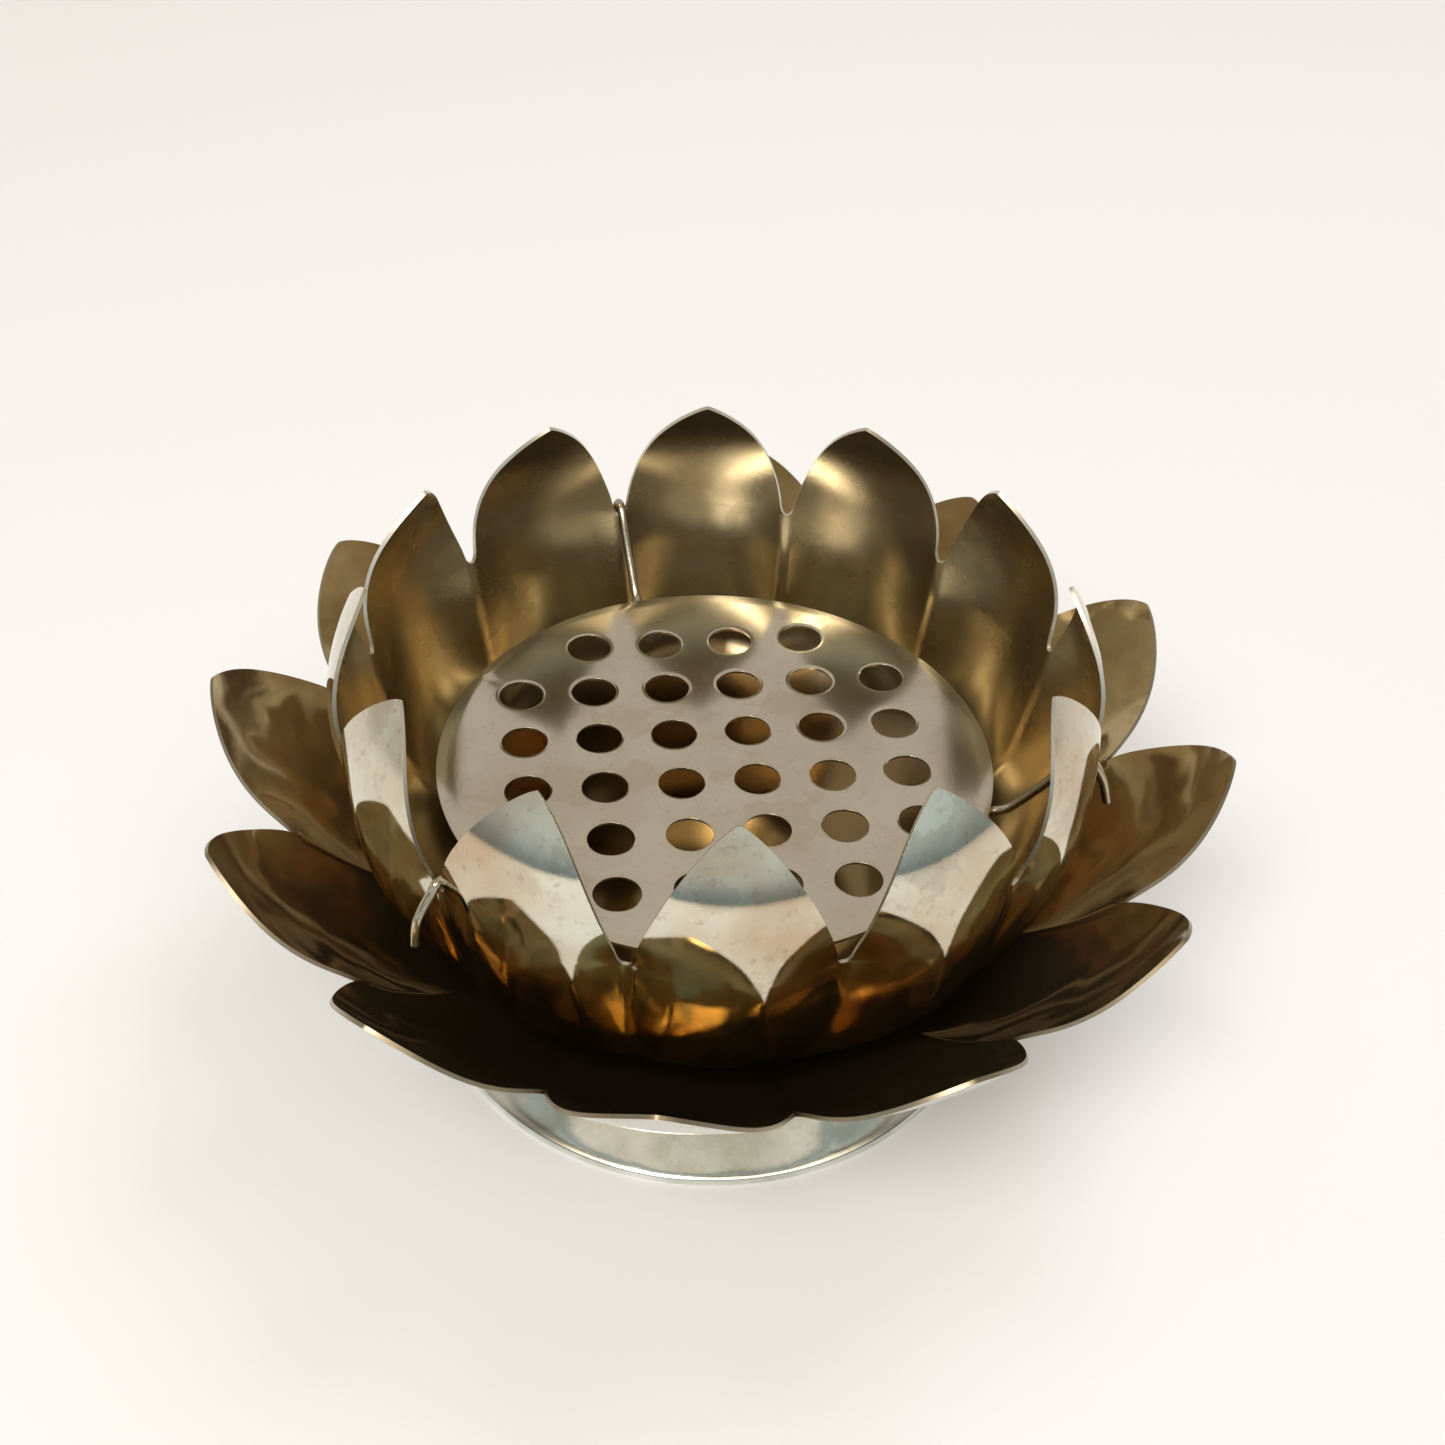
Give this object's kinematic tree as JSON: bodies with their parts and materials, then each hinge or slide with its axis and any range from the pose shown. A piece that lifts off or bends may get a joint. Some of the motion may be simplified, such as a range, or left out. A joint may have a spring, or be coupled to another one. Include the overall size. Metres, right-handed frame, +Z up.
{
  "type": "flower frog",
  "caption": "Lotus-shaped footed metal bowl of two rows of petals, with a lift-out perforated stem-holder disc that hangs inside on wire hooks.",
  "frame": {"origin": "centre of the foot's base, on the surface it stands on", "axes": "+Z up through the centre of the bowl and the frog; a cup petal is centred on +Y and another on -Y, the side it is usually seen from"},
  "size_m": [0.2088, 0.2088, 0.1067],
  "materials": {
    "foot_silver_plate": "polished",
    "plate_silver_plate": "polished",
    "cup_silver_plate": "gloss",
    "disc_silver_plate": "satin",
    "wire_silver_plate": "satin",
    "soft_solder": "satin",
    "zinc_plated_steel": "satin",
    "rubber_seal": "matte"
  },
  "bodies": {
    "bowl": {"foot": "foot_silver_plate", "outer_petal_plate": "plate_silver_plate", "petal_cup": "cup_silver_plate", "sealing_washer": "rubber_seal", "centre_screw": "zinc_plated_steel", "flat_washer": "zinc_plated_steel", "spring_washer": "zinc_plated_steel", "hex_nut": "zinc_plated_steel"},
    "frog": {"frog_disc": "disc_silver_plate", "hook_wire_rear": "wire_silver_plate", "solder_saddle_rear": "soft_solder", "hook_wire_right": "wire_silver_plate", "solder_saddle_right": "soft_solder", "hook_wire_front": "wire_silver_plate", "solder_saddle_front": "soft_solder"}
  },
  "joints": [
    {"name": "frog_lift", "type": "slide", "parent": "bowl", "child": "frog", "axis": [0, 0, 1], "range_m": [0, 0.09]}
  ]
}
